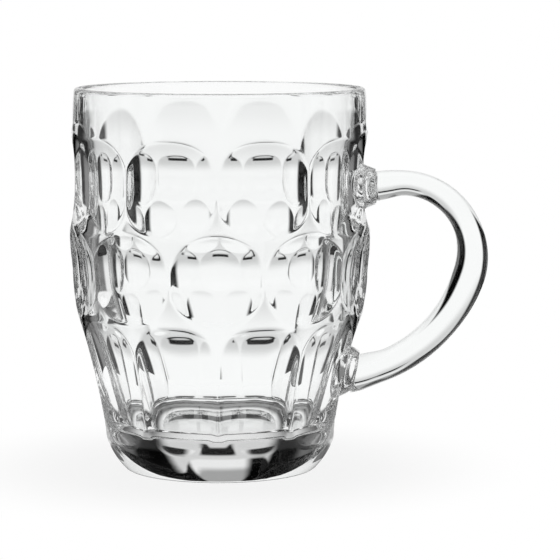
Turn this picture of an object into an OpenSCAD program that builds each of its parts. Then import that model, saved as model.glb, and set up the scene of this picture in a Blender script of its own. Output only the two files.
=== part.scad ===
// Dimpled glass beer mug of about a pint, in two pieces of pressed glass: the body, with
// two staggered rows of thumb dimples above a row of long flutes and two raised seats,
// and the handle, whose flat ends are fused on the seats while both are hot.
// Millimetres. The origin is the centre of the foot, +Z is up and the handle is on +X.

/* [Body] */
// Height from the foot to the top of the lip
mug_h = 125; // [116:1:134]
// Outside radius at the widest part
belly_r = 49.1; // [47.5:0.1:54]
// Height of the widest part
belly_z = 78; // [73:1:84]
// How much narrower the lip is than the widest part, on the radius
mouth_drop = 1.5; // [0.8:0.1:3]
// Radius of the curve from the widest part down to the tapered side
shoulder_curve_r = 152; // [130:1:170]
// Lean of the tapered side from the vertical, in degrees
taper = 12.7; // [11:0.1:14.5]
// Height at which the tapered side turns in to the foot
turn_in_z = 13; // [11:0.5:16]
// Radius of the curve that turns in to the foot
turn_in_r = 26; // [23:1:34]
// Radius of the edge that the mug stands on
foot_edge_r = 2.5; // [1.5:0.1:3.5]
// Radius of the hollow under the foot
hollow_r = 24; // [18:0.5:26]
// Depth of the hollow under the foot
hollow_depth = 3; // [1:0.1:4]

/* [Cup] */
// Radius of the round lip
lip_r = 1.8; // [1.3:0.1:2.2]
// How far the round lip stands out of the wall on each side, as a faint bead
lip_bead = 0.1; // [0.05:0.01:0.2]
// Wall thickness at the widest part, between dimples
belly_wall = 5.8; // [5.4:0.1:8]
// Radius of the curve inside the wall, below the widest part
cup_curve_r = 175; // [150:1:190]
// Height of the floor of the cup
floor_z = 13; // [11.5:0.5:18]
// Radius of the corner between the floor and the wall
floor_corner_r = 1.5; // [1:0.5:8]

/* [Dimples] */
// Dimples in one row
columns = 10; // [8:2:12]
// Width of a dimple where it is widest
dimple_w = 30.9; // [28:0.1:31]
// Depth of a thumb dimple
dimple_depth = 2.8; // [2.6:0.1:3.2]
// Height of the middle of the upper row
upper_row_z = 94.6; // [93:0.1:96]
// Height of a dimple in the upper row
upper_row_h = 30.6; // [28:0.1:32]
// Height of the middle of the middle row
middle_row_z = 66.3; // [65:0.1:68]
// Height of a dimple in the middle row
middle_row_h = 29.2; // [27:0.1:31]
// Height of the middle of the flutes
flute_z = 30.8; // [30:0.1:31.6]
// Height of a flute
flute_h = 41; // [38.5:0.1:42]
// Depth of a flute
flute_depth = 2.7; // [2.3:0.1:3.1]

/* [Handle] */
// Distance from the widest part of the body to the middle of the handle where it is farthest out
handle_out = 33.5; // [28:0.5:40]
// Height of the middle of the handle at its crown
crown_z = 93.8; // [90:0.1:97]
// Radius of the crown, along the middle of the handle
crown_r = 23.1; // [19:0.1:26]
// Radius of the long sweep below the crown, along the middle of the handle
sweep_r = 48; // [44:0.5:52]
// Angle below the horizontal at which the crown passes into the sweep, in degrees
sweep_start = 17.6; // [10:0.1:25]
// Rise of the upper root towards the crown, in degrees
root_rise = 9; // [4:0.5:12]
// Thickness on the upper seat
upper_root_t = 9.6; // [9:0.1:10.5]
// Thickness at the crown
crown_t = 8.1; // [7:0.1:10]
// Thickness where the crown passes into the sweep
bend_t = 10.8; // [9:0.1:12]
// Thickness along the sweep
sweep_t = 9.8; // [9:0.1:11]
// Thickness on the lower seat
lower_root_t = 11.8; // [10:0.1:12]
// Width at the crown
crown_w = 12; // [10:0.1:13]
// Width along the sweep
sweep_w = 13; // [11:0.1:14]
// Width on the seats
root_w = 13.6; // [12:0.1:14]

/* [Seats] */
// How far the upper seat stands out of the round that the dimple under it is sunk in
upper_seat_out = 2.1; // [1:0.1:4]
// How far the lower seat stands out of the round that the flute under it is sunk in
lower_seat_out = 1.8; // [1:0.1:4]
// Shoulder of a seat around the end of the handle
seat_shoulder = 0.9; // [0.4:0.1:1.5]
// Radius of the corners of a seat
seat_corner_r = 4; // [2:0.1:5]

/* [Hidden] */

$fn = 144;
// Sides of the long, shallow curves, which need more of them for the same smoothness
long_curve_fn = 1440;
// Sides of the shallow curve across a dimple
stave_fn = 360;
// Overrun of cuts past the faces that they open
cut_over = 1;
// Where two curves of a section pass into each other, one lies this far within the other,
// and both run on past the place, so that they cross at a small angle
blend_in = 0.02;
blend_over = 5;

// Angle from one column of dimples to the next
pitch = 360 / columns;
// A dimple is at least this much deeper in its middle than a flat between its two sides
least_bow = 0.1;
// The turned surfaces start and end here, between the ridges of all three rows
seam_angle = pitch / 4;
// How far a seat reaches into the glass below the dimples
seat_root = 1.5;

// Outside: the curves are tangent to each other where they meet
upper_span = mug_h - lip_r - belly_z;
upper_curve_r = (pow(upper_span, 2) + pow(mouth_drop, 2)) / (2 * mouth_drop);
lip_z = mug_h - lip_r;
mouth_r = belly_r - mouth_drop;
taper_top_z = belly_z - shoulder_curve_r * sin(taper);
taper_top_r = belly_r - shoulder_curve_r * (1 - cos(taper));
turn_in_start_r = taper_top_r - (taper_top_z - turn_in_z) * tan(taper);
turn_in_centre = [turn_in_start_r - turn_in_r * cos(taper), turn_in_z + turn_in_r * sin(taper)];
hollow_sphere_r = (pow(hollow_r, 2) + pow(hollow_depth, 2)) / (2 * hollow_depth);

// Inside
cup_belly_r = belly_r - belly_wall;
cup_mouth_r = mouth_r - 2 * (lip_r - lip_bead);
cup_curve_centre = [cup_belly_r - cup_curve_r, belly_z];

// Lean of the outside at a height, in degrees, positive where it narrows downwards
function lean(z) =
    z > belly_z ? -asin((z - belly_z) / upper_curve_r)
    : z > taper_top_z ? asin((belly_z - z) / shoulder_curve_r)
    : taper;

// Outside radius at a height above the turn in to the foot, with no dimples
function outside_r(z) =
    z > belly_z ? belly_r - upper_curve_r * (1 - cos(lean(z)))
    : z > taper_top_z ? belly_r - shoulder_curve_r * (1 - cos(lean(z)))
    : taper_top_r - (taper_top_z - z) * tan(taper);

// How far an arc of a radius falls away from its tangent, at a distance along the tangent
function fall(r, along) = r - sqrt(pow(r, 2) - pow(along, 2));

// Radius of the arc that falls by a height over a distance along its tangent
function arc_r(height, along) = (pow(along, 2) + pow(height, 2)) / (2 * height);

// Centre of a circle of radius r that touches a level line and the inside of a large arc
function corner_centre(big_centre, big_r, level_z, r) =
    [big_centre.x + sqrt(pow(big_r - r, 2) - pow(big_centre.y - level_z - r, 2)), level_z + r];

// The handle's middle line, in the plane y = 0
reach_x = belly_r + handle_out;
crown_centre = [reach_x - crown_r, crown_z - crown_r];
sweep_offset = (sweep_r - crown_r) * [cos(sweep_start), -sin(sweep_start)];
sweep_centre = crown_centre - sweep_offset;
upper_seat_x = outside_r(crown_z) + upper_seat_out;
crown_start = crown_centre + crown_r * [-sin(root_rise), cos(root_rise)];
upper_root = [upper_seat_x, crown_start.y - (crown_start.x - upper_seat_x) * tan(root_rise)];
// The lower seat's face is parallel to the tapered side, and the sweep ends on it
lower_face_normal = [cos(taper), -sin(taper)];
lower_face_distance = [taper_top_r, taper_top_z] * lower_face_normal + lower_seat_out;
sweep_to_face = lower_face_distance - sweep_centre * lower_face_normal;
sweep_end = -acos(sweep_to_face / sweep_r) - taper;
lower_root = sweep_centre + sweep_r * [cos(sweep_end), sin(sweep_end)];

// Rings of the handle: first and last lie on the seats
root_rings = 4;
crown_rings = 26;
sweep_rings = 26;
ring_points = 32;
// Squareness of the handle's cross-section, where 2 is an ellipse
section_power = 2.4;
crown_sweep_angle = 90 + root_rise + sweep_start;

function on_arc(centre, r, angle) = concat(centre + r * [cos(angle), sin(angle)], angle);

// Each entry is x, z and the direction of the thickness, outwards, in degrees
route = concat(
    [for (i = [0:root_rings - 1])
        concat(upper_root + (crown_start - upper_root) * i / root_rings,
               90 + root_rise * i / root_rings)],
    [for (i = [0:crown_rings - 1])
        on_arc(crown_centre, crown_r, 90 + root_rise - crown_sweep_angle * i / crown_rings)],
    [for (i = [0:sweep_rings])
        on_arc(sweep_centre, sweep_r, -sweep_start + (sweep_end + sweep_start) * i / sweep_rings)]
);

// Over the last part of the sweep the rings lean until the last one lies on the seat
lean_in_share = 0.3;
last_ring = len(route) - 1;
function ring_share(i) = i / last_ring;
function lean_in(i) =
    let (t = max(0, (ring_share(i) - 1 + lean_in_share) / lean_in_share)) t * t * (3 - 2 * t);
function ring_angle(i) = route[i].z + lean_in(i) * (-90 - taper - route[i].z);

crown_share = 0.12;
mid_crown_share = 0.33;
mid_crown_gain_share = 0.25;
bend_share = 0.5;
mid_sweep_share = 0.7;
low_sweep_share = 0.9;
thickness_table = [
    [0, upper_root_t],
    [crown_share, crown_t],
    [mid_crown_share, crown_t + (bend_t - crown_t) * mid_crown_gain_share],
    [bend_share, bend_t],
    [mid_sweep_share, sweep_t],
    [low_sweep_share, sweep_t],
    [1, lower_root_t]
];
width_table = [
    [0, root_w],
    [crown_share, crown_w],
    [bend_share, sweep_w],
    [low_sweep_share, sweep_w],
    [1, root_w]
];

// A point of a superellipse, as shares of its half thickness and half width
function round_share(v, power) = sign(v) * pow(abs(v), 2 / power);

function handle_ring(i) =
    let (
        angle = ring_angle(i),
        slant = cos(angle - route[i].z),
        half_t = lookup(ring_share(i), thickness_table) / 2 / slant,
        half_w = lookup(ring_share(i), width_table) / 2
    )
    [for (k = [0:ring_points - 1])
        let (
            turn = 360 * k / ring_points,
            out = half_t * round_share(cos(turn), section_power)
        )
        [
            route[i].x + out * cos(angle),
            half_w * round_share(sin(turn), section_power),
            route[i].y + out * sin(angle)
        ]
    ];

// Rounds the corner between a level line and a large arc: what lies outside the chord between
// the two points of contact is cut off, and the circle that all but touches both is added
module touching_corner(big_centre, big_r, level_z, r) {
    centre = corner_centre(big_centre, big_r, level_z, r);
    contact = centre + r * (centre - big_centre) / norm(centre - big_centre);
    difference() {
        children();
        polygon([
            [centre.x, level_z],
            contact,
            [contact.x + r, contact.y],
            [contact.x + r, level_z - r],
            [centre.x, level_z - r]
        ]);
    }
    translate(centre) circle(r = r - blend_in);
}

module band(low_z, high_z, width) {
    translate([0, low_z]) square([width, high_z - low_z]);
}

module outside_section() {
    intersection() {
        translate([belly_r - blend_in - upper_curve_r, belly_z])
            circle(r = upper_curve_r, $fn = long_curve_fn);
        band(belly_z, lip_z, belly_r);
    }
    intersection() {
        translate([belly_r - shoulder_curve_r, belly_z]) circle(r = shoulder_curve_r, $fn = long_curve_fn);
        band(taper_top_z - blend_over, belly_z + blend_over, belly_r);
    }
    polygon([
        [0, turn_in_z],
        [turn_in_start_r - blend_in, turn_in_z],
        [taper_top_r - blend_in, taper_top_z],
        [0, taper_top_z]
    ]);
    difference() {
        touching_corner(turn_in_centre, turn_in_r, 0, foot_edge_r)
            intersection() {
                translate(turn_in_centre) circle(r = turn_in_r, $fn = long_curve_fn);
                band(0, turn_in_z + blend_over, belly_r);
            }
        translate([0, hollow_depth - hollow_sphere_r]) circle(r = hollow_sphere_r, $fn = long_curve_fn);
    }
}

module cup_section() {
    cup_flare = (cup_mouth_r - cup_belly_r) / (lip_z - belly_z);
    polygon([
        [0, belly_z - blend_over],
        [cup_belly_r - cup_flare * blend_over, belly_z - blend_over],
        [cup_mouth_r + cup_flare * cut_over, lip_z + cut_over],
        [0, lip_z + cut_over]
    ]);
    touching_corner(cup_curve_centre, cup_curve_r, floor_z, floor_corner_r)
        intersection() {
            translate(cup_curve_centre) circle(r = cup_curve_r, $fn = long_curve_fn);
            band(floor_z, belly_z + blend_over, cup_belly_r);
        }
}

module glass_section() {
    difference() {
        outside_section();
        cup_section();
    }
    translate([mouth_r + lip_bead - lip_r, lip_z]) circle(r = lip_r);
}

// A barrel lying across the wall, whose middle sinks into the outside by a depth
module dimple_cutter(z, h, depth) {
    surface_r = outside_r(z);
    half_h = h / 2;
    // The dimples narrow with the body, so that every column keeps its share of the round
    half_w = dimple_w / 2 * surface_r / belly_r;
    // What the wall's own curves already fall away is left for the barrel to make up
    wall_fall_up = (fall_at(z + half_h, z) + fall_at(z - half_h, z)) / 2;
    waist_r = arc_r(depth - wall_fall_up, half_h);
    stave_r = arc_r(max(least_bow, depth - fall(surface_r, half_w)), half_w);
    barrel_half_l = half_w + depth;
    translate([surface_r, 0, z])
        rotate([0, lean(z), 0])
            translate([waist_r - depth, 0, 0])
                rotate([90, 0, 0])
                    rotate_extrude()
                        intersection() {
                            translate([waist_r - stave_r, 0]) circle(r = stave_r, $fn = stave_fn);
                            translate([0, -barrel_half_l]) square([waist_r, 2 * barrel_half_l]);
                        }
}

// How far the outside at one height lies within the line that leans as it does at another
function fall_at(z, from_z) =
    (outside_r(from_z) + (z - from_z) * tan(lean(from_z)) - outside_r(z)) * cos(lean(from_z));

module dimple_row(z, h, depth, first_angle) {
    for (i = [0:columns - 1])
        rotate([0, 0, first_angle + pitch * i])
            dimple_cutter(z, h, depth);
}

module seat_outline(t) {
    half_t = t / 2 + seat_shoulder;
    half_w = root_w / 2 + seat_shoulder;
    corner_t = half_t - seat_corner_r;
    corner_w = half_w - seat_corner_r;
    square([2 * half_t, 2 * corner_w], center = true);
    square([2 * corner_t, 2 * half_w], center = true);
    for (sx = [-1, 1])
        for (sy = [-1, 1])
            translate([sx * corner_t, sy * corner_w]) circle(r = seat_corner_r);
}

module seat(root, tilt, t, depth) {
    translate([root.x, 0, root.y])
        rotate([0, tilt - 90, 0])
            linear_extrude(height = depth)
                seat_outline(t);
}

module mug_body() {
    color([0.93, 0.95, 0.95, 0.4])
        union() {
            difference() {
                rotate([0, 0, seam_angle]) rotate_extrude() glass_section();
                dimple_row(upper_row_z, upper_row_h, dimple_depth, 0);
                dimple_row(middle_row_z, middle_row_h, dimple_depth, pitch / 2);
                dimple_row(flute_z, flute_h, flute_depth, 0);
            }
            seat(upper_root, 0, upper_root_t, upper_seat_out + dimple_depth + seat_root);
            seat(lower_root, taper, lower_root_t, lower_seat_out + flute_depth + seat_root);
        }
}

module handle() {
    points = [for (i = [0:last_ring]) each handle_ring(i)];
    sides = [
        for (i = [0:last_ring - 1])
            for (k = [0:ring_points - 1])
                let (
                    a = i * ring_points + k,
                    b = i * ring_points + (k + 1) % ring_points
                )
                [a, a + ring_points, b + ring_points, b]
    ];
    upper_face = [for (k = [0:ring_points - 1]) k];
    lower_face = [for (k = [ring_points - 1:-1:0]) last_ring * ring_points + k];
    color([0.90, 0.93, 0.93, 0.5])
        polyhedron(points = points, faces = concat(sides, [upper_face], [lower_face]));
}

mug_body();
handle();
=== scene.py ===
"""Dimpled beer mug of clear pressed glass: the body, the handle and the stage around them."""

import math
from functools import partial
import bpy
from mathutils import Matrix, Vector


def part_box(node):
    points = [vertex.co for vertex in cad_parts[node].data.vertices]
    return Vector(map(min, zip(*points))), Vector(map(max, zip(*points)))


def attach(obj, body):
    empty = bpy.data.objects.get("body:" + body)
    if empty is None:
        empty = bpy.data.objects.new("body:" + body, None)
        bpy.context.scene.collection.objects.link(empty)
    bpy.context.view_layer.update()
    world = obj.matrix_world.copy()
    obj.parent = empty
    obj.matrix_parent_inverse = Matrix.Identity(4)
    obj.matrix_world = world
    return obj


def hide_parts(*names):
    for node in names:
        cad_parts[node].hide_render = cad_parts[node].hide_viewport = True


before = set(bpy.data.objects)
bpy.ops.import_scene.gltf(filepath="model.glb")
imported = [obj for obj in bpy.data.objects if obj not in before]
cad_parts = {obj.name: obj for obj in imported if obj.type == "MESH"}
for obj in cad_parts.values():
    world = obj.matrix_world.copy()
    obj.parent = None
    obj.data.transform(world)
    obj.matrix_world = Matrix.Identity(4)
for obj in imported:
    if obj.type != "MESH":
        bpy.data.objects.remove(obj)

from types import SimpleNamespace

import bpy
import numpy as np
from bpy.props import FloatProperty, FloatVectorProperty, IntProperty, PointerProperty

bl_info = {
    "name": "Dimpled Beer Mug",
    "version": (1, 0, 0),
    "blender": (4, 5, 0),
    "location": "View3D > Sidebar > Mug",
    "description": "Builds the pressed glass body and handle of a dimpled beer mug, and its stage",
    "category": "Add Mesh",
}

MM = 0.001
BODY_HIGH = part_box("mug_body")[1]
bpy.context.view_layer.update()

# Columns of the dimpled outside, and how many of them meet one column of a smooth stretch
OUTSIDE_COLUMNS = 540
COLUMN_RATIO = 3
# Rings of the body's skin, one stretch after another
HOLLOW_RINGS = 12
STAND_RINGS = 3
EDGE_RINGS = 8
SIDE_RINGS = 150
LIP_RINGS = 13
LIP_FINE_RINGS = 7
WALL_RINGS = 44
CORNER_RINGS = 12
FLOOR_RINGS = 8
# The side's rings lie closer together within this reach of a crest between two rows
CREST_REACH = 7 * MM
CREST_GAIN = 1.6
DENSITY_STEPS = 4000
# Least cosine of the turn from the handle's side at which a seat is raised
SEAT_SIDE = 0.5
# Power of the height with which the inside flares close below the lip
LIP_FLARE_POWER = 6

# Points round the handle, and its rings
HANDLE_POINTS = 72
ROOT_RINGS = 8
CROWN_RINGS = 90
SWEEP_RINGS = 100
# Shares of the handle's length at which its thicknesses and widths are given
THICKNESS_SHARES = (0, 0.10, 0.31, 0.51, 0.71, 0.9, 1)
WIDTH_SHARES = (0, 0.12, 0.5, 0.9, 1)
# Share of the way from the crown's thickness to the bend's that it has early on
EARLY_BEND_SHARE = 0.25
# Last share of the handle's length, over which its rings lean to the lower seat
LEAN_SHARE = 0.3

# How near to the plane of a fused joint a point counts as on it
JOINT_HAIR = 0.04 * MM
# The finer ripples against the broad ones
FINE_RIPPLE_RATIO = 4.3
FINE_RIPPLE_SHARE = 0.12

FLOOR_SIDES = 96
# Shares of the floor's radius between which its shadow fades out
SHADOW_FADE_SHARES = (0.3, 0.8)
# Half width of the change from the camera's side of the room to the far side
FRONT_FADE = 0.05
SENSOR_WIDTH = 36
CAMERA_REACH = 100
LIGHT_BOUNCES = 28
CLEAR_BOUNCES = 16


def length(name, description, default, **limits):
    """A property for a length in metres."""
    return FloatProperty(
        name=name, description=description, default=default, unit="LENGTH", **limits)


def angle(name, description, degrees, **limits):
    """A property for an angle, given here in degrees and held in radians."""
    return FloatProperty(
        name=name, description=description, default=math.radians(degrees), subtype="ANGLE",
        **limits)


def level(name, description, default):
    """A property for a share or a brightness from 0 to 1."""
    return FloatProperty(
        name=name, description=description, default=default, min=0, max=1, subtype="FACTOR")


class MugBodySizes(bpy.types.PropertyGroup):
    """Sizes of the pressed body."""

    height: length("Height", "From the foot to the top of the lip", BODY_HIGH[2], min=0.05)
    belly_r: length("Belly radius", "Outside radius at the widest part", BODY_HIGH[1], min=0.02)
    belly_z: length("Belly height", "Height of the widest part", 78 * MM, min=0.02)
    mouth_drop: length(
        "Mouth drop", "How much narrower the lip is than the belly, on the radius",
        1.5 * MM, min=0.0001)
    shoulder_r: length(
        "Shoulder curve", "Radius of the curve from the belly to the tapered side",
        152 * MM, min=0.05)
    taper: angle("Taper", "Lean of the tapered side from the vertical", 12.7, min=0)
    turn_in_z: length(
        "Turn-in height", "Height at which the side turns in to the foot", 13 * MM, min=0.001)
    turn_in_r: length(
        "Turn-in curve", "Radius of the curve that turns in to the foot", 26 * MM, min=0.005)
    foot_edge_r: length(
        "Foot edge", "Radius of the edge that the mug stands on", 2.5 * MM, min=0.0005)
    hollow_r: length("Hollow radius", "Radius of the hollow under the foot", 24 * MM, min=0.005)
    hollow_depth: length("Hollow depth", "Depth of the hollow under the foot", 3 * MM, min=0.0005)
    lip_r: length("Lip", "Radius of the round lip", 1.5 * MM, min=0.0005)
    cup_belly_r: length("Cup radius", "Inside radius at the belly", 43.3 * MM, min=0.01)
    cup_curve_r: length(
        "Cup curve", "Radius of the curve inside, below the belly", 175 * MM, min=0.05)
    flare: length(
        "Flare", "How much the inside widens evenly from the belly to the lip", 1 * MM, min=0)
    lip_flare: length(
        "Lip flare", "How much more the inside widens close below the lip", 0.95 * MM, min=0)
    floor_z: length("Floor height", "Height of the floor of the cup", 13.4 * MM, min=0.005)
    floor_corner_r: length(
        "Floor corner", "Radius of the corner between the floor and the wall", 1.5 * MM, min=0.001)
    floor_dip: length("Floor dip", "How much lower the floor is in its middle", 0.4 * MM, min=0)


class DimpleSizes(bpy.types.PropertyGroup):
    """Sizes of the dimples and flutes."""

    columns: IntProperty(
        name="Columns", description="Dimples in one row", default=10, min=6)
    width_share: FloatProperty(
        name="Width share", description="Width of a dimple as a share of the space for one",
        default=1.02, min=0.8, max=1.2)
    upper_z: length("Upper row", "Height of the middle of the upper row", 94.6 * MM)
    upper_h: length("Upper height", "Height of a dimple in the upper row", 30.6 * MM, min=0.005)
    middle_z: length("Middle row", "Height of the middle of the middle row", 66.3 * MM)
    middle_h: length("Middle height", "Height of a dimple in the middle row", 29.2 * MM, min=0.005)
    flute_z: length("Flutes", "Height of the middle of the flutes", 30.8 * MM)
    flute_h: length("Flute height", "Height of a flute", 41 * MM, min=0.005)
    depth: length("Dimple depth", "Depth of a thumb dimple below the ridges", 2.8 * MM, min=0)
    flute_depth: length("Flute depth", "Depth of a flute below the ridges", 2.7 * MM, min=0)
    bowl_power: FloatProperty(
        name="Bowl power", description="Shape of a dimple's bowl, where 2 is a parabola",
        default=2.4, min=1.5, max=6)
    outline_power: FloatProperty(
        name="Outline power", description="Squareness of a dimple's outline, where 2 is an ellipse",
        default=2.4, min=1.5, max=8)
    middle_outline_power: FloatProperty(
        name="Middle outline power", description="Squareness of the outlines in the middle row",
        default=2.0, min=1.5, max=8)
    flute_outline_power: FloatProperty(
        name="Flute outline power", description="Squareness of a flute's outline",
        default=3.0, min=1.5, max=8)
    ridge_round: length(
        "Ridge rounding", "How far the ridges between dimples are rounded off",
        0.3 * MM, min=0.00001)


class HandleSizes(bpy.types.PropertyGroup):
    """Sizes of the handle and of the seats that it is fused to."""

    reach: length("Reach", "From the axis to the middle of the handle, farthest out", 82.6 * MM)
    crown_z: length("Crown height", "Height of the middle of the handle at its crown", 93.8 * MM)
    crown_r: length(
        "Crown radius", "Radius of the crown along the middle of the handle", 23.1 * MM, min=0.005)
    sweep_r: length("Sweep radius", "Radius of the long sweep below the crown", 48 * MM, min=0.005)
    sweep_start: angle("Sweep start", "Angle below the horizontal at which the sweep begins", 17.6)
    root_rise: angle("Root rise", "Rise of the upper root towards the crown", 9)
    upper_root_t: length("Upper root", "Thickness on the upper seat", 9.6 * MM, min=0.001)
    crown_t: length("Crown thickness", "Thickness at the crown", 8.1 * MM, min=0.001)
    bend_t: length(
        "Bend thickness", "Thickness where the crown passes into the sweep", 10.8 * MM, min=0.001)
    sweep_t: length("Sweep thickness", "Thickness along the sweep", 9.8 * MM, min=0.001)
    lower_root_t: length("Lower root", "Thickness on the lower seat", 11.8 * MM, min=0.001)
    crown_w: length("Crown width", "Width at the crown", 12 * MM, min=0.001)
    sweep_w: length("Sweep width", "Width along the sweep", 13 * MM, min=0.001)
    root_w: length("Root width", "Width on the seats", 13.6 * MM, min=0.001)
    section_power: FloatProperty(
        name="Section power", description="Squareness of the cross-section, where 2 is an ellipse",
        default=2.4, min=1.5, max=8)
    upper_seat_out: length(
        "Upper seat", "How far the upper seat stands out of its ridge", 2.1 * MM, min=0)
    lower_seat_out: length(
        "Lower seat", "How far the lower seat stands out of its ridge", 1.8 * MM, min=0)
    seat_shoulder: length(
        "Seat shoulder", "Flat shoulder of a seat around the end of the handle", 0.7 * MM, min=0)
    seat_flank: length(
        "Seat flank", "Width of the melted slope from a seat down to the body",
        2.6 * MM, min=0.0005)
    joint_gap: length(
        "Joint gap", "Gap between the meshes where the handle is fused on", 0.02 * MM, min=0)


class GlassLooks(bpy.types.PropertyGroup):
    """Colour and finish of the glass."""

    ior: FloatProperty(
        name="Refractive index", description="Refractive index of soda-lime glass",
        default=1.52, min=1, max=2)
    reflection: level("Reflection", "Strength of reflections looking straight at the glass", 0.5)
    body_tint: FloatVectorProperty(
        name="Body tint", description="Colour of the body's glass",
        default=(0.985, 0.992, 0.990), subtype="COLOR", size=3, min=0, max=1)
    handle_tint: FloatVectorProperty(
        name="Handle tint", description="Colour of the handle's glass",
        default=(0.975, 0.988, 0.984), subtype="COLOR", size=3, min=0, max=1)
    ripple_scale: FloatProperty(
        name="Ripple scale", description="How many ripples of the pressed surface lie in a metre",
        default=70, min=1)
    ripple_height: length(
        "Ripple height", "Height of the ripples of the pressed surface", 0.005 * MM, min=0)
    wear_height: length(
        "Foot wear", "How far up the foot the glass is rubbed dull", 0.35 * MM, min=0)
    scuff_scale: FloatProperty(
        name="Scuff scale", description="How many scuffs of the rubbed foot lie in a metre",
        default=900, min=1)
    scuff_roughness: level("Scuff roughness", "Greatest roughness of the rubbed foot", 0.35)


class StageLooks(bpy.types.PropertyGroup):
    """The camera, the floor and the light."""

    camera_distance: length(
        "Camera distance", "Distance of the camera in front of the mug's axis", 0.904, min=0.1)
    camera_z: length("Camera height", "Height of the camera above the floor", 0.166)
    camera_x: length("Camera shift", "How far the camera stands towards the handle", 0.0196)
    camera_down: angle("Camera tilt", "How far the camera looks down", 6.57)
    camera_lens: FloatProperty(
        name="Lens", description="Focal length in millimetres on a sensor 36 mm wide",
        default=178.4, min=10)
    floor_r: length("Floor radius", "Radius of the pale round floor", 0.13, min=0.1)
    floor_white: level("Floor white", "How much of the light on the floor it gives back", 0.9)
    shadow_share: level("Shadow share", "How much of the floor's light can be shadowed", 0.12)
    # The dark ring is a painted shadow round the foot, in the floor's own light, seen only through
    # the glass
    painted_shadow_inner: length(
        "Ring inside", "Radius where the dark ring round the foot begins", 28.5 * MM, min=0.005)
    painted_shadow_outer: length("Ring outside", "Radius where the dark ring ends", 49 * MM, min=0.005)
    painted_shadow_fade: length(
        "Ring fade", "Width over which the ring fades on each side", 4 * MM, min=0.0005)
    under_level: level("Under level", "Brightness of the floor inside the dark ring", 0.95)
    painted_shadow_level: level("Ring level", "Brightness of the dark ring, seen through the glass", 0.03)
    back_half: angle("Backdrop", "Half width of the white backdrop, seen from the mug", 17)
    back_fade: angle("Backdrop fade", "Width over which it passes into the black flags", 6)
    flag_end: angle("Flags end", "Angle from the backdrop's middle at which the flags end", 36)
    flag_fade: angle("Flag fade", "Width over which the flags pass into the room at the side", 8)
    room_level: level("Room level", "Brightness of the room beside the flags", 0.2)
    side_start: angle("Side light", "Angle from the backdrop's middle where it begins", 62)
    side_level: level("Side level", "Brightness straight from the sides", 0.85)
    level_low: angle("Fade start", "Elevation at which the backdrop begins to fade upwards", -4)
    level_high: angle(
        "Fade end", "Elevation at which the fade ends, and the room beside it too", 6.5)
    edge_level: level("Edge level", "Brightness of the backdrop where the fade ends", 0.65)
    bar_low: angle("Dark bar", "Elevation of the lower edge of the dark bar in the backdrop", 7.4)
    bar_high: angle("Dark bar's top", "Elevation of the bar's upper edge", 10.6)
    bar_half: angle("Bar width", "Half width of the bar", 6)
    panel_low: angle("Panel's foot", "Elevation at which the backdrop passes into the panel", 12.3)
    panel_high: angle("Panel's top", "Elevation at which the bright panel ends", 15)
    panel_half: angle("Panel", "Half width of the bright panel above the backdrop", 9)
    panel_fade: angle("Panel fade", "Width over which the panel fades at its ends", 4)
    panel_level: level("Panel level", "Brightness of the panel", 0.85)
    wall_level: level("Wall level", "Brightness of the wall above the panel", 0.38)
    top_low: angle("Top light", "Elevation from which the ceiling brightens", 28)
    top_fade: angle("Top fade", "Elevation over which the ceiling brightens", 20)
    top_level: level("Top level", "Brightness overhead", 0.8)
    table_front: angle("Table in front", "Elevation of the table's edge on the camera's side", -11)
    table_back: angle("Table behind", "Elevation of the table's edge behind the mug", -20)
    table_level: level("Table level", "Brightness of the table beyond the floor", 0.92)
    soft_edge: angle("Soft edge", "Half width of the edges between the room's parts", 0.6)
    front_level: level("Front level", "Brightness behind the camera, as a share of the back", 0.15)


def outside_places(s):
    """Places where the outside's curves pass into each other, each tangent to the next."""
    lip_z = s.height - s.lip_r
    upper_r = ((lip_z - s.belly_z) ** 2 + s.mouth_drop ** 2) / (2 * s.mouth_drop)
    taper_top_z = s.belly_z - s.shoulder_r * math.sin(s.taper)
    taper_top_r = s.belly_r - s.shoulder_r * (1 - math.cos(s.taper))
    turn_start_r = taper_top_r - (taper_top_z - s.turn_in_z) * math.tan(s.taper)
    turn_r = turn_start_r - s.turn_in_r * math.cos(s.taper)
    turn_z = s.turn_in_z + s.turn_in_r * math.sin(s.taper)
    edge_r = turn_r + math.sqrt((s.turn_in_r - s.foot_edge_r) ** 2 - (turn_z - s.foot_edge_r) ** 2)
    edge_end = math.pi / 2 + math.atan2(s.foot_edge_r - turn_z, edge_r - turn_r)
    return SimpleNamespace(
        lip_z=lip_z, mouth_r=s.belly_r - s.mouth_drop, upper_r=upper_r,
        taper_top_z=taper_top_z, taper_top_r=taper_top_r,
        turn_r=turn_r, turn_z=turn_z, edge_r=edge_r, edge_end=edge_end,
    )


def outside_radius(s, z):
    """Radius of the outside with no dimples: an arc above the belly, an arc below it, a
    straight taper, and an arc that turns in to the foot, each tangent to the next."""
    p = outside_places(s)
    from_belly = z - s.belly_z
    upper = s.belly_r - p.upper_r + np.sqrt(p.upper_r ** 2 - from_belly ** 2)
    shoulder = s.belly_r - s.shoulder_r + np.sqrt(s.shoulder_r ** 2 - from_belly ** 2)
    tapered = p.taper_top_r - (p.taper_top_z - z) * math.tan(s.taper)
    turned = p.turn_r + np.sqrt(np.maximum(s.turn_in_r ** 2 - (p.turn_z - z) ** 2, 0))
    return np.select(
        [z >= s.belly_z, z >= p.taper_top_z, z >= s.turn_in_z], [upper, shoulder, tapered], turned)


def inside_radius(s, z):
    """Radius of the cup: an arc below the belly, and above it an even flare plus a second one
    that grows with a high power of the height, so that it shows only close to the lip."""
    below = np.minimum(z - s.belly_z, 0)
    above = np.maximum(z - s.belly_z, 0) / (outside_places(s).lip_z - s.belly_z)
    arc = s.cup_belly_r - s.cup_curve_r + np.sqrt(s.cup_curve_r ** 2 - below ** 2)
    return arc + s.flare * above + s.lip_flare * above ** LIP_FLARE_POWER


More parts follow.
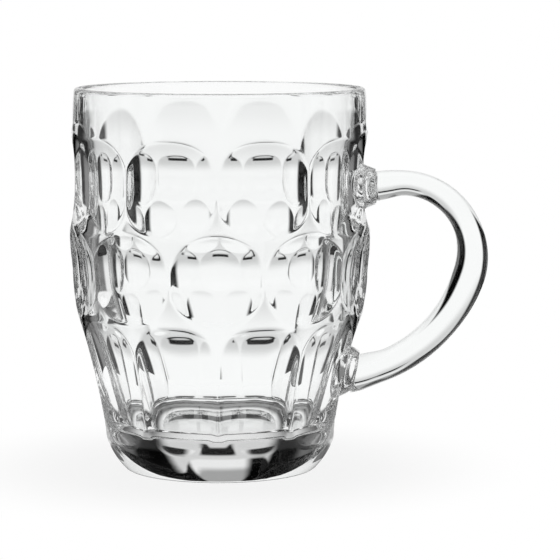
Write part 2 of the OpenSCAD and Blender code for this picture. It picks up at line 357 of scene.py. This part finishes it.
def smooth_step(share):
    """Rises from 0 to 1, level at both ends: the share squared, times 3 less twice the share."""
    return share * share * (3 - 2 * share)


def smooth_least(a, b, reach):
    """The lesser of two values, with the corner between them rounded over the reach."""
    share = np.clip(0.5 + 0.5 * (b - a) / reach, 0, 1)
    return b * (1 - share) + a * share - reach * share * (1 - share)


def outline_distance(across, up, power):
    """Distance from the middle of a superellipse, as 1 on its outline: both shares to the
    power, added, and the root of that."""
    return (np.abs(across) ** power + np.abs(up) ** power) ** (1 / power)


def direction(angle):
    """Cosines and sines of angles, as pairs."""
    return np.stack([np.cos(angle), np.sin(angle)], -1)


def full_turn(count):
    """Angles that split a full turn evenly."""
    return 2 * math.pi * np.arange(count) / count


def dimple_rows(d):
    """The three rows: middle height, half height, depth, outline power and turn in pitches."""
    return [
        (d.upper_z, d.upper_h / 2, d.depth, d.outline_power, 0.0),
        (d.middle_z, d.middle_h / 2, d.depth, d.middle_outline_power, 0.5),
        (d.flute_z, d.flute_h / 2, d.flute_depth, d.flute_outline_power, 0.0),
    ]


def dimpled(radius, turn, z, d):
    """Sinks the dimples into a radius. In each, the surface lies deeper by the depth times 1
    minus the distance from its middle, as a share of its outline's, to the bowl's power.
    Neighbours meet in a rounded ridge."""
    pitch = 2 * math.pi / d.columns
    half_turn = d.width_share * pitch / 2
    result = radius
    for row_z, half_h, depth, power, offset in dimple_rows(d):
        from_middle = (turn / pitch - offset + 0.5) % 1 - 0.5
        for neighbour in (-1, 0, 1):
            across = (from_middle + neighbour) * pitch / half_turn
            distance = outline_distance(across, (z - row_z) / half_h, power)
            bowl = radius - depth * (1 - distance ** d.bowl_power)
            result = smooth_least(result, bowl, d.ridge_round)
    return result


def handle_places(body, h):
    """The handle's middle line and the two seats, in the plane y = 0, as (x, z) pairs."""
    crown = np.array([h.reach - h.crown_r, h.crown_z - h.crown_r])
    sweep = crown - (h.sweep_r - h.crown_r) * direction(-h.sweep_start)
    upper_x = outside_radius(body, np.array(h.crown_z)) + h.upper_seat_out
    crown_start = crown + h.crown_r * direction(math.pi / 2 + h.root_rise)
    root_drop = (crown_start[0] - upper_x) * math.tan(h.root_rise)
    p = outside_places(body)
    normal = direction(-body.taper)
    face = np.array([p.taper_top_r, p.taper_top_z]) @ normal + h.lower_seat_out
    sweep_end = -math.acos((face - sweep @ normal) / h.sweep_r) - body.taper
    return SimpleNamespace(
        crown=crown, sweep=sweep, crown_start=crown_start, sweep_end=sweep_end,
        upper_root=np.array([upper_x, crown_start[1] - root_drop]),
        lower_root=sweep + h.sweep_r * direction(sweep_end),
    )


def seated(radius, turn, z, root, tilt, half_t, h):
    """Raises a seat out of a radius. The seat's face is the plane through the root that leans
    by the tilt, less half the joint's gap. Its outline is the handle's end plus the shoulder,
    and from there a smooth slope as wide as the flank runs down to the body."""
    x = radius * np.cos(turn)
    y = radius * np.sin(turn)
    normal_x, normal_z = direction(-tilt)
    face = root[0] * normal_x + root[1] * normal_z - h.joint_gap / 2
    along = (z - root[1]) * normal_x - (x - root[0]) * normal_z
    flat_t = half_t + h.seat_shoulder
    flat_w = h.root_w / 2 + h.seat_shoulder
    distance = outline_distance(along / flat_t, y / flat_w, h.section_power)
    beyond = np.clip((distance - 1) * (flat_t + flat_w) / 2 / h.seat_flank, 0, 1)
    facing = np.cos(turn)
    on_face = (face - z * normal_z) / (normal_x * np.maximum(facing, SEAT_SIDE))
    raised = radius + (on_face - radius) * (1 - smooth_step(beyond))
    return np.where(facing > SEAT_SIDE, raised, radius)


def graded_heights(low, high, crests):
    """Heights of the side's rings, closer together near the crests. Their density is 1 plus
    the gain times a bell curve round each crest, and the heights split its integral evenly."""
    fine = np.linspace(low, high, DENSITY_STEPS)
    bells = sum(np.exp(-((fine - crest) / CREST_REACH) ** 2) for crest in crests)
    density = 1 + CREST_GAIN * bells
    amount = np.concatenate([[0], np.cumsum((density[1:] + density[:-1]) / 2)])
    return np.interp(np.linspace(0, amount[-1], SIDE_RINGS), amount, fine)


def ring_points(radius, height, columns):
    """Points of stacked rings about the axis. The radius is one number a ring or one a point."""
    turn = full_turn(columns)
    radius = np.broadcast_to(radius, (len(height), columns))
    level = np.broadcast_to(np.asarray(height)[:, None], radius.shape)
    return np.stack([radius * np.cos(turn), radius * np.sin(turn), level], -1).reshape(-1, 3)


def ring_faces(rings, columns, start):
    """Triangles between stacked closed rings of equal column counts, facing out."""
    ring = start + columns * np.arange(rings - 1)[:, None]
    here = np.arange(columns)[None, :]
    beside = (here + 1) % columns
    a, b = ring + here, ring + beside
    c, d = b + columns, a + columns
    return np.concatenate([
        np.stack([a, b, c], -1).reshape(-1, 3), np.stack([a, c, d], -1).reshape(-1, 3)])


def fan_faces(centre, ring_start, columns, inwards):
    """Triangles from a centre point to a ring, where inwards ends a surface at its centre."""
    here = ring_start + np.arange(columns)
    beside = ring_start + (np.arange(columns) + 1) % columns
    middle = np.full(columns, centre)
    order = [here, beside, middle] if inwards else [middle, beside, here]
    return np.stack(order, -1)


def stitch_faces(fine_start, coarse_start, columns, fine_first):
    """Triangles between a ring and one with a third of its columns, three to one."""
    coarse = coarse_start + np.arange(columns)
    coarse_next = coarse_start + (np.arange(columns) + 1) % columns
    count = columns * COLUMN_RATIO
    places = np.arange(columns) * COLUMN_RATIO
    f = [fine_start + (places + k) % count for k in range(COLUMN_RATIO + 1)]
    groups = [(f[0], f[1], coarse), (f[1], coarse_next, coarse),
              (f[1], f[2], coarse_next), (f[2], f[3], coarse_next)]
    if not fine_first:
        groups = [group[::-1] for group in groups]
    return np.concatenate([np.stack(group, -1) for group in groups])


def mesh_object(name, points, faces):
    """Puts points and triangles into a smooth mesh object at the origin."""
    mesh = bpy.data.meshes.new(name)
    mesh.from_pydata(points.tolist(), [], faces.tolist())
    mesh.validate()
    mesh.update()
    mesh.shade_smooth()
    piece = bpy.data.objects.new(name, mesh)
    bpy.context.scene.collection.objects.link(piece)
    return piece


def foot_path(s, p):
    """Radii and heights of the rings under the mug: the hollow, which is a part of a sphere,
    and the flat ring that the mug stands on."""
    sphere_r = (s.hollow_r ** 2 + s.hollow_depth ** 2) / (2 * s.hollow_depth)
    hollow_r = s.hollow_r * np.linspace(0, 1, HOLLOW_RINGS + 1)[1:]
    hollow_z = s.hollow_depth - sphere_r + np.sqrt(sphere_r ** 2 - hollow_r ** 2)
    stand_r = np.linspace(s.hollow_r, p.edge_r, STAND_RINGS + 2)[1:-1]
    return np.concatenate([hollow_r, stand_r]), np.concatenate([hollow_z, 0 * stand_r])


def side_grid(s, p, d, h):
    """Radii of all points of the outside, ring by ring, and the rings' heights: the rounded
    edge of the foot, and the side with its dimples, flutes and seats."""
    edge_turn = np.linspace(0, p.edge_end, EDGE_RINGS + 1)
    edge_r = p.edge_r + s.foot_edge_r * np.sin(edge_turn[:-1])
    edge_z = s.foot_edge_r * (1 - np.cos(edge_turn))
    crests = [
        d.upper_z + d.upper_h / 2, (d.upper_z + d.middle_z) / 2,
        (d.middle_z - d.middle_h / 2 + d.flute_z + d.flute_h / 2) / 2, d.flute_z - d.flute_h / 2]
    side_z = graded_heights(edge_z[-1], p.lip_z, crests)
    height = np.concatenate([edge_z[:-1], side_z])
    radius = np.concatenate([edge_r, outside_radius(s, side_z)])
    turn = full_turn(OUTSIDE_COLUMNS)
    level = height[:, None] + 0 * turn
    radius = dimpled(radius[:, None] + 0 * turn, turn, level, d)
    places = handle_places(s, h)
    radius = seated(radius, turn, level, places.upper_root, 0, h.upper_root_t / 2, h)
    radius = seated(radius, turn, level, places.lower_root, s.taper, h.lower_root_t / 2, h)
    return radius, height


def lip_path(s, p):
    """Radii and heights of the lip's rings, on half an ellipse from outside to inside."""
    turn = np.linspace(0, math.pi, LIP_RINGS + 2)[1:-1]
    half = (p.mouth_r - float(inside_radius(s, np.array(p.lip_z)))) / 2
    return p.mouth_r - half + half * np.cos(turn), p.lip_z + s.lip_r * np.sin(turn)


def cup_path(s, p):
    """Radii and heights of the rings inside: the wall, an arc that passes from its lean into
    the level floor, and the floor, which dips most in its middle: by 1 minus the square of
    the share of its radius, squared."""
    corner_z = s.floor_z + s.floor_corner_r
    wall_z = np.linspace(p.lip_z, corner_z, WALL_RINGS)
    wall_r = inside_radius(s, wall_z)
    lean = math.atan2(wall_r[-2] - wall_r[-1], wall_z[-2] - wall_z[-1])
    turn = np.linspace(-lean, math.pi / 2, CORNER_RINGS + 1)[1:]
    centre = np.array([wall_r[-1], corner_z]) - s.floor_corner_r * direction(-lean)
    corner = centre + s.floor_corner_r * direction(-turn)
    share = np.linspace(1, 0, FLOOR_RINGS + 2)[1:-1]
    floor_z = corner[-1, 1] - s.floor_dip * (1 - share ** 2) ** 2
    return (np.concatenate([wall_r, corner[:, 0], corner[-1, 0] * share]),
            np.concatenate([wall_z, corner[:, 1], floor_z]))


def body_mesh(s, d, h):
    """The whole skin of the body as one path of rings: out along the hollow under the foot,
    round its edge, up the dimpled outside, over the lip, down the inside and in along the
    floor. The smooth stretches have a third of the outside's columns."""
    p = outside_places(s)
    coarse = OUTSIDE_COLUMNS // COLUMN_RATIO
    foot_r, foot_z = foot_path(s, p)
    side_r, side_z = side_grid(s, p, d, h)
    lip_r, lip_z = lip_path(s, p)
    cup_r, cup_z = cup_path(s, p)
    fine_lip_r = np.repeat(lip_r[:LIP_FINE_RINGS, None], OUTSIDE_COLUMNS, 1)
    fine_r = np.concatenate([side_r, fine_lip_r])
    fine_z = np.concatenate([side_z, lip_z[:LIP_FINE_RINGS]])
    in_r = np.concatenate([lip_r[LIP_FINE_RINGS:], cup_r])
    in_z = np.concatenate([lip_z[LIP_FINE_RINGS:], cup_z])

    under = ring_points(foot_r[:, None], foot_z, coarse)
    fine = ring_points(fine_r, fine_z, OUTSIDE_COLUMNS)
    inside = ring_points(in_r[:, None], in_z, coarse)
    poles = np.array([[0, 0, s.hollow_depth], [0, 0, in_z[-1]]])
    points = np.concatenate([under, fine, inside, poles])
    fine_start = len(under)
    in_start = fine_start + len(fine)
    under_pole = in_start + len(inside)
    faces = np.concatenate([
        fan_faces(under_pole, 0, coarse, False),
        ring_faces(len(foot_z), coarse, 0),
        stitch_faces(fine_start, fine_start - coarse, coarse, False),
        ring_faces(len(fine_z), OUTSIDE_COLUMNS, fine_start),
        stitch_faces(in_start - OUTSIDE_COLUMNS, in_start, coarse, True),
        ring_faces(len(in_z), coarse, in_start),
        fan_faces(under_pole + 1, under_pole - coarse, coarse, True),
    ])
    return mesh_object("pressed_body", points, faces)


def smooth_through(at, places, values):
    """A curve through the given values that never overshoots them: cubic pieces whose slopes
    are the harmonic means of the straight slopes on both sides."""
    places, values = np.array(places), np.array(values)
    width = np.diff(places)
    slope = np.diff(values) / width
    product = slope[:-1] * slope[1:]
    safe = np.where(slope[:-1] + slope[1:] == 0, 1, slope[:-1] + slope[1:])
    inner = np.where(product > 0, 2 * product / safe, 0)
    tangent = np.concatenate([[0], inner, [0]])
    i = np.clip(np.searchsorted(places, at) - 1, 0, len(width) - 1)
    t = (at - places[i]) / width[i]
    curve = values[i] + (values[i + 1] - values[i]) * smooth_step(t)
    return curve + width[i] * t * (1 - t) * (tangent[i] * (1 - t) - tangent[i + 1] * t)


def handle_line(p, h):
    """Points along the handle's middle line, and the angle of its thickness at each: a short
    straight root, the crown's arc and the sweep's arc."""
    upright = math.pi / 2
    share = np.linspace(0, 1, ROOT_RINGS + 1)[:-1]
    root = p.upper_root + (p.crown_start - p.upper_root) * share[:, None]
    crown_turn = upright + h.root_rise + h.sweep_start
    crown = upright + h.root_rise - crown_turn * np.linspace(0, 1, CROWN_RINGS + 1)[:-1]
    sweep = (p.sweep_end + h.sweep_start) * np.linspace(0, 1, SWEEP_RINGS + 1) - h.sweep_start
    line = [root, p.crown + h.crown_r * direction(crown), p.sweep + h.sweep_r * direction(sweep)]
    return np.concatenate(line), np.concatenate([upright + h.root_rise * share, crown, sweep])


def handle_mesh(s, h):
    """A superellipse carried along the handle's middle line. Towards the lower seat the rings
    lean until the last lies on it. Both ends keep half the joint's gap to their seats."""
    line, angle = handle_line(handle_places(s, h), h)
    step = np.linalg.norm(np.diff(line, axis=0), axis=1)
    along = np.concatenate([[0], np.cumsum(step)]) / step.sum()
    lean = smooth_step(np.clip((along - 1 + LEAN_SHARE) / LEAN_SHARE, 0, 1))
    ring_angle = angle + lean * (-math.pi / 2 - s.taper - angle)
    early_bend = h.crown_t + (h.bend_t - h.crown_t) * EARLY_BEND_SHARE
    thick = smooth_through(along, THICKNESS_SHARES, [
        h.upper_root_t, h.crown_t, early_bend, h.bend_t, h.sweep_t, h.sweep_t, h.lower_root_t])
    wide = smooth_through(along, WIDTH_SHARES, [
        h.root_w, h.crown_w, h.sweep_w, h.sweep_w, h.root_w])
    half_t = thick / 2 / np.cos(ring_angle - angle)

    wave = direction(full_turn(HANDLE_POINTS))
    wave = np.sign(wave) * np.abs(wave) ** (2 / h.section_power)
    out = half_t[:, None] * wave[:, 0]
    upper_end = along[:, None] < 0.5
    off_seat = h.joint_gap / 2 * np.where(upper_end, direction(0), direction(-s.taper))
    x = line[:, 0, None] + out * np.cos(ring_angle)[:, None] + off_seat[:, 0, None]
    y = wide[:, None] / 2 * wave[:, 1]
    z = line[:, 1, None] + out * np.sin(ring_angle)[:, None] + off_seat[:, 1, None]
    points = np.stack([x, y, z], -1).reshape(-1, 3)
    ends = np.stack([points[:HANDLE_POINTS].mean(0), points[-HANDLE_POINTS:].mean(0)])
    faces = np.concatenate([
        fan_faces(len(points), 0, HANDLE_POINTS, False),
        ring_faces(len(line), HANDLE_POINTS, 0),
        fan_faces(len(points) + 1, len(points) - HANDLE_POINTS, HANDLE_POINTS, True),
    ])[:, ::-1]
    return mesh_object("solid_handle", np.concatenate([points, ends]), faces)


def feed(tree, socket, value):
    """Links another node's output to a socket, or sets the socket to a plain value."""
    if isinstance(value, bpy.types.NodeSocket):
        tree.links.new(value, socket)
    else:
        socket.default_value = value


def add_node(tree, kind, inputs):
    """A new node, with the named inputs fed."""
    node = tree.nodes.new(kind)
    for name, value in inputs.items():
        feed(tree, node.inputs[name], value)
    return node


def group_node(tree, name, inputs):
    """A new node that stands for a node group, with its inputs fed. Returns its output."""
    node = tree.nodes.new("ShaderNodeGroup")
    node.node_tree = bpy.data.node_groups[name]
    for socket, value in inputs.items():
        feed(tree, node.inputs[socket], value)
    return node.outputs[0]


def math_node(tree, operation, *values):
    """A Math node whose inputs are numbers or other nodes' outputs. Returns its output."""
    node = tree.nodes.new("ShaderNodeMath")
    node.operation = operation
    for socket, value in zip(node.inputs, values):
        feed(tree, socket, value)
    return node.outputs[0]


def product_node(tree, first, *others):
    """The product of any count of numbers or outputs. Returns its output."""
    for value in others:
        first = math_node(tree, "MULTIPLY", first, value)
    return first


def ramp_node(tree, value, low, high, at_low, at_high):
    """A smooth step of a value: at_low up to low, at_high from high on. Returns its output."""
    node = add_node(tree, "ShaderNodeMapRange", {
        "Value": value, "From Min": low, "From Max": high, "To Min": at_low, "To Max": at_high})
    node.interpolation_type = "SMOOTHSTEP"
    return node.outputs[0]


def new_group(name, inputs, output, kind):
    """An empty shader node group with numbers for inputs and one output. Returns the group,
    its inputs' sockets and its output's socket."""
    group = bpy.data.node_groups.new(name, "ShaderNodeTree")
    for socket in inputs:
        group.interface.new_socket(socket, in_out="INPUT", socket_type="NodeSocketFloat")
    group.interface.new_socket(output, in_out="OUTPUT", socket_type=kind)
    into = group.nodes.new("NodeGroupInput")
    return group, into.outputs, group.nodes.new("NodeGroupOutput").inputs[0]


def empty_tree(owner, output_kind):
    """Clears the nodes of a material or world. Returns its tree and its surface's socket."""
    owner.use_nodes = True
    tree = owner.node_tree
    tree.nodes.clear()
    return tree, tree.nodes.new(output_kind).inputs["Surface"]


def ripple_group():
    """Faint ripples of pressed, fire-polished glass: broad noise and a little finer noise, as
    a bump."""
    group, into, normal = new_group(
        "Pressed ripples", ["Scale", "Height"], "Normal", "NodeSocketVector")
    place = group.nodes.new("ShaderNodeTexCoord").outputs["Object"]
    fine_scale = math_node(group, "MULTIPLY", into["Scale"], FINE_RIPPLE_RATIO)
    broad = add_node(group, "ShaderNodeTexNoise", {
        "Vector": place, "Scale": into["Scale"], "Detail": 1})
    fine = add_node(group, "ShaderNodeTexNoise", {
        "Vector": place, "Scale": fine_scale, "Detail": 0})
    fine_part = math_node(group, "MULTIPLY", fine.outputs["Fac"], FINE_RIPPLE_SHARE)
    height = math_node(group, "ADD", broad.outputs["Fac"], fine_part)
    bump = add_node(group, "ShaderNodeBump", {
        "Strength": 1, "Distance": into["Height"], "Height": height})
    group.links.new(bump.outputs["Normal"], normal)


def joint_group():
    """1 where a point lies on the flat face in which handle and body are fused, else 0: within
    a hair of the plane through the root, and inside the superellipse of the handle's end."""
    group, into, mask = new_group(
        "Fused joint",
        ["Root X", "Root Z", "Tilt", "Half thickness", "Half width", "Power", "Hair"],
        "Mask", "NodeSocketFloat")
    maths = partial(math_node, group)
    place = group.nodes.new("ShaderNodeTexCoord").outputs["Object"]
    split = add_node(group, "ShaderNodeSeparateXYZ", {"Vector": place}).outputs
    x = maths("SUBTRACT", split["X"], into["Root X"])
    z = maths("SUBTRACT", split["Z"], into["Root Z"])
    cosine = maths("COSINE", into["Tilt"])
    sine = maths("SINE", into["Tilt"])
    off = maths("SUBTRACT", maths("MULTIPLY", x, cosine), maths("MULTIPLY", z, sine))
    along = maths("ADD", maths("MULTIPLY", x, sine), maths("MULTIPLY", z, cosine))
    parts = []
    for part, half in ((along, into["Half thickness"]), (split["Y"], into["Half width"])):
        share = maths("DIVIDE", maths("ABSOLUTE", part), half)
        parts.append(maths("POWER", share, into["Power"]))
    inside = maths("LESS_THAN", maths("ADD", *parts), 1.0)
    on_face = maths("LESS_THAN", maths("ABSOLUTE", off), into["Hair"])
    group.links.new(maths("MULTIPLY", inside, on_face), mask)


def glass_material(name, tint, looks, body, h):
    """Clear pressed glass: plain transmission, faint ripples, and no surface inside the fused
    joints. Returns the material and its shader."""
    material = bpy.data.materials.new(name)
    tree, surface = empty_tree(material, "ShaderNodeOutputMaterial")
    p = handle_places(body, h)
    masks = []
    for root, tilt, thick in ((p.upper_root, 0, h.upper_root_t),
                              (p.lower_root, body.taper, h.lower_root_t)):
        masks.append(group_node(tree, "Fused joint", {
            "Root X": root[0], "Root Z": root[1], "Tilt": tilt, "Half thickness": thick / 2,
            "Half width": h.root_w / 2, "Power": h.section_power, "Hair": JOINT_HAIR}))
    joined = math_node(tree, "MAXIMUM", *masks)
    shader = add_node(tree, "ShaderNodeBsdfPrincipled", {
        "Base Color": (*tint, 1), "Metallic": 0, "Transmission Weight": 1, "Roughness": 0,
        "IOR": looks.ior, "Specular Tint": (looks.reflection,) * 3 + (1,),
        "Normal": group_node(tree, "Pressed ripples", {
            "Scale": looks.ripple_scale, "Height": looks.ripple_height}),
        "Alpha": math_node(tree, "SUBTRACT", 1.0, joined)})
    tree.links.new(shader.outputs[0], surface)
    return material, shader


def rub_foot(material, shader, looks):
    """Dulls the ring that the mug stands on: roughness from fine noise, fading upwards."""
    tree = material.node_tree
    place = tree.nodes.new("ShaderNodeTexCoord").outputs["Object"]
    height = add_node(tree, "ShaderNodeSeparateXYZ", {"Vector": place}).outputs["Z"]
    scuffs = add_node(tree, "ShaderNodeTexNoise", {
        "Vector": place, "Scale": looks.scuff_scale, "Detail": 3})
    low = ramp_node(tree, height, 0, looks.wear_height, 1, 0)
    rough = product_node(tree, low, scuffs.outputs["Fac"], looks.scuff_roughness)
    tree.links.new(rough, shader.inputs["Roughness"])


def stage_world(looks):
    """White to the camera. To the glass, a white backdrop low down in front and behind, with a
    dark bar in it, black flags on both sides of it, a grey room beside them, a bright panel
    over the backdrop, a grey wall over the panel, a bright ceiling, and a white table below.
    On the camera's side all but the table is darker."""
    world = bpy.data.worlds.new("Studio")
    bpy.context.scene.world = world
    tree, surface = empty_tree(world, "ShaderNodeOutputWorld")
    maths = partial(math_node, tree)
    product = partial(product_node, tree)
    ramp = partial(ramp_node, tree)
    place = tree.nodes.new("ShaderNodeTexCoord").outputs["Generated"]
    split = add_node(tree, "ShaderNodeSeparateXYZ", {"Vector": place}).outputs
    aside = maths("ARCTAN2", maths("ABSOLUTE", split["X"]), maths("ABSOLUTE", split["Y"]))
    up = maths("ARCSINE", split["Z"])
    soft = looks.soft_edge

    def level_edge(height, under, over):
        """A soft edge at an elevation, from one brightness to another."""
        return ramp(up, height - soft, height + soft, under, over)

    bar = product(
        ramp(aside, looks.bar_half, looks.bar_half + 3 * soft, 1, 0),
        level_edge(looks.bar_low, 0, 1), level_edge(looks.bar_high, 1, 0))
    back = product(
        ramp(aside, looks.back_half, looks.back_half + looks.back_fade, 1, 0),
        maths("SUBTRACT", 1.0, bar), level_edge(looks.panel_low, 1, 0))
    room = maths(
        "ADD", ramp(aside, looks.flag_end, looks.flag_end + looks.flag_fade, 0, looks.room_level),
        ramp(aside, looks.side_start, looks.side_start + looks.flag_fade, 0,
             looks.side_level - looks.room_level))
    room = product(room, level_edge(looks.level_high, 1, 0))
    fade = ramp(up, looks.level_low, looks.level_high, 1, looks.edge_level)
    low = product(maths("ADD", back, room), fade)
    high = product(
        ramp(aside, looks.panel_half, looks.panel_half + looks.panel_fade, 1, 0),
        ramp(up, looks.panel_high, looks.panel_high + 5 * soft, looks.panel_level,
             looks.wall_level),
        level_edge(looks.panel_low, 0, 1))
    top = ramp(up, looks.top_low, looks.top_low + looks.top_fade, 0, looks.top_level)
    seen = maths("MAXIMUM", maths("ADD", low, high), top)

    from_front = partial(ramp, split["Y"], -FRONT_FADE, FRONT_FADE)
    seen = product(seen, from_front(looks.front_level, 1))
    over_edge = maths("SUBTRACT", up, from_front(looks.table_front, looks.table_back))
    seen = maths("MAXIMUM", seen, ramp(over_edge, -5 * soft, 0, looks.table_level, 0))
    rays = tree.nodes.new("ShaderNodeLightPath")
    background = add_node(tree, "ShaderNodeBackground", {
        "Color": maths("MAXIMUM", seen, rays.outputs["Is Camera Ray"]), "Strength": 1})
    tree.links.new(background.outputs[0], surface)


def stage_floor(looks):
    """A round white floor. Most of its light is its own, so that it stays white, and the rest
    is light that falls on it, so that the mug's shadow shows. It fades into the white round it.
    Through the glass it shows a painted shadow: a dark ring round the foot, unseen by the camera."""
    rim = ring_points(looks.floor_r, [0], FLOOR_SIDES)
    points = np.concatenate([[[0, 0, 0]], rim])
    floor = mesh_object("studio_floor", points, fan_faces(0, 1, FLOOR_SIDES, True))
    material = bpy.data.materials.new("Studio floor")
    tree, surface = empty_tree(material, "ShaderNodeOutputMaterial")
    distance = tree.nodes.new("ShaderNodeVectorMath")
    distance.operation = "LENGTH"
    place = tree.nodes.new("ShaderNodeTexCoord").outputs["Object"]
    tree.links.new(place, distance.inputs[0])
    ramp = partial(ramp_node, tree, distance.outputs["Value"])
    fade = looks.painted_shadow_fade
    # Painted shadow: a dark ring round the foot in the floor's own light, for rays that pass the
    # glass
    inside = ramp(
        looks.painted_shadow_inner - fade, looks.painted_shadow_inner + fade / 2, looks.under_level, looks.painted_shadow_level)
    outside = ramp(looks.painted_shadow_outer - fade / 2, looks.painted_shadow_outer + fade, looks.painted_shadow_level, 1)
    shadow_start, shadow_end = (share * looks.floor_r for share in SHADOW_FADE_SHARES)
    rays = tree.nodes.new("ShaderNodeLightPath")
    light_with_painted_shadow = math_node(tree, "MAXIMUM", inside, outside)
    # The camera's own rays see plain white over the painted shadow ring
    light_with_painted_shadow = math_node(tree, "MAXIMUM", light_with_painted_shadow, rays.outputs["Is Camera Ray"])
    glow = add_node(tree, "ShaderNodeEmission", {"Color": light_with_painted_shadow})
    matt = add_node(tree, "ShaderNodeBsdfDiffuse", {"Color": (*(looks.floor_white,) * 3, 1)})
    mix = add_node(tree, "ShaderNodeMixShader", {
        "Fac": ramp(shadow_start, shadow_end, looks.shadow_share, 0)})
    tree.links.new(glow.outputs[0], mix.inputs[1])
    tree.links.new(matt.outputs[0], mix.inputs[2])
    tree.links.new(mix.outputs[0], surface)
    floor.data.materials.append(material)


def stage_camera(looks):
    """The camera in front of the mug, a little towards the handle, looking down at it."""
    data = bpy.data.cameras.new("Camera")
    data.sensor_width = SENSOR_WIDTH
    data.lens = looks.camera_lens
    data.clip_end = CAMERA_REACH
    camera = bpy.data.objects.new("Camera", data)
    camera.location = (looks.camera_x, -looks.camera_distance, looks.camera_z)
    camera.rotation_euler = (math.pi / 2 - looks.camera_down, 0, 0)
    bpy.context.scene.collection.objects.link(camera)
    bpy.context.scene.camera = camera


class MUG_OT_glass_finish(bpy.types.Operator):
    """Builds the node groups that the glass shares"""

    bl_idname = "mug.glass_finish"
    bl_label = "Glass finish"

    def execute(self, context):
        ripple_group()
        joint_group()
        return {"FINISHED"}


class MUG_OT_pressed_body(bpy.types.Operator):
    """Builds the pressed body with its dimples, flutes and raised seats"""

    bl_idname = "mug.pressed_body"
    bl_label = "Pressed body"

    def execute(self, context):
        scene = context.scene
        piece = body_mesh(scene.mug_body_sizes, scene.mug_dimple_sizes, scene.mug_handle_sizes)
        looks = scene.mug_glass_looks
        material, shader = glass_material(
            "Clear body glass", looks.body_tint, looks,
            scene.mug_body_sizes, scene.mug_handle_sizes)
        rub_foot(material, shader, looks)
        piece.data.materials.append(material)
        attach(piece, "root")
        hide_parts("mug_body")
        return {"FINISHED"}


class MUG_OT_solid_handle(bpy.types.Operator):
    """Builds the solid handle, with its ends on the seats"""

    bl_idname = "mug.solid_handle"
    bl_label = "Solid handle"

    def execute(self, context):
        scene = context.scene
        piece = handle_mesh(scene.mug_body_sizes, scene.mug_handle_sizes)
        looks = scene.mug_glass_looks
        material, _ = glass_material(
            "Clear handle glass", looks.handle_tint, looks,
            scene.mug_body_sizes, scene.mug_handle_sizes)
        piece.data.materials.append(material)
        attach(piece, "root")
        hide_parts("handle")
        return {"FINISHED"}


class MUG_OT_stage(bpy.types.Operator):
    """Builds the camera, the floor and the light"""

    bl_idname = "mug.stage"
    bl_label = "Stage"

    def execute(self, context):
        scene = context.scene
        scene.view_settings.view_transform = "Standard"
        scene.cycles.max_bounces = LIGHT_BOUNCES
        scene.cycles.transmission_bounces = LIGHT_BOUNCES
        scene.cycles.glossy_bounces = LIGHT_BOUNCES
        scene.cycles.transparent_max_bounces = CLEAR_BOUNCES
        stage_camera(scene.mug_stage_looks)
        stage_floor(scene.mug_stage_looks)
        stage_world(scene.mug_stage_looks)
        return {"FINISHED"}


class MUG_PT_panel(bpy.types.Panel):
    """Lists the mug's pieces and their sizes"""

    bl_idname = "MUG_PT_panel"
    bl_label = "Dimpled Beer Mug"
    bl_space_type = "VIEW_3D"
    bl_region_type = "UI"
    bl_category = "Mug"

    def draw(self, context):
        for operator in OPERATORS:
            self.layout.operator(operator.bl_idname)
        for name, group in GROUPS.items():
            box = self.layout.box()
            box.label(text=group.__doc__)
            settings = getattr(context.scene, name)
            for prop in group.__annotations__:
                box.prop(settings, prop)


GROUPS = {
    "mug_body_sizes": MugBodySizes,
    "mug_dimple_sizes": DimpleSizes,
    "mug_handle_sizes": HandleSizes,
    "mug_glass_looks": GlassLooks,
    "mug_stage_looks": StageLooks,
}
OPERATORS = (MUG_OT_glass_finish, MUG_OT_pressed_body, MUG_OT_solid_handle, MUG_OT_stage)


def register():
    """Registers the classes and hangs the settings on the scene."""
    for cls in (*GROUPS.values(), *OPERATORS, MUG_PT_panel):
        bpy.utils.register_class(cls)
    for name, group in GROUPS.items():
        setattr(bpy.types.Scene, name, PointerProperty(type=group))


def unregister():
    """Takes the settings off the scene and unregisters the classes."""
    for name in GROUPS:
        delattr(bpy.types.Scene, name)
    for cls in (MUG_PT_panel, *reversed(OPERATORS), *reversed(GROUPS.values())):
        bpy.utils.unregister_class(cls)


def main():
    """Builds the mug and its stage."""
    register()
    bpy.ops.mug.glass_finish()
    bpy.ops.mug.pressed_body()
    bpy.ops.mug.solid_handle()
    bpy.ops.mug.stage()


if __name__ == "__main__":
    main()
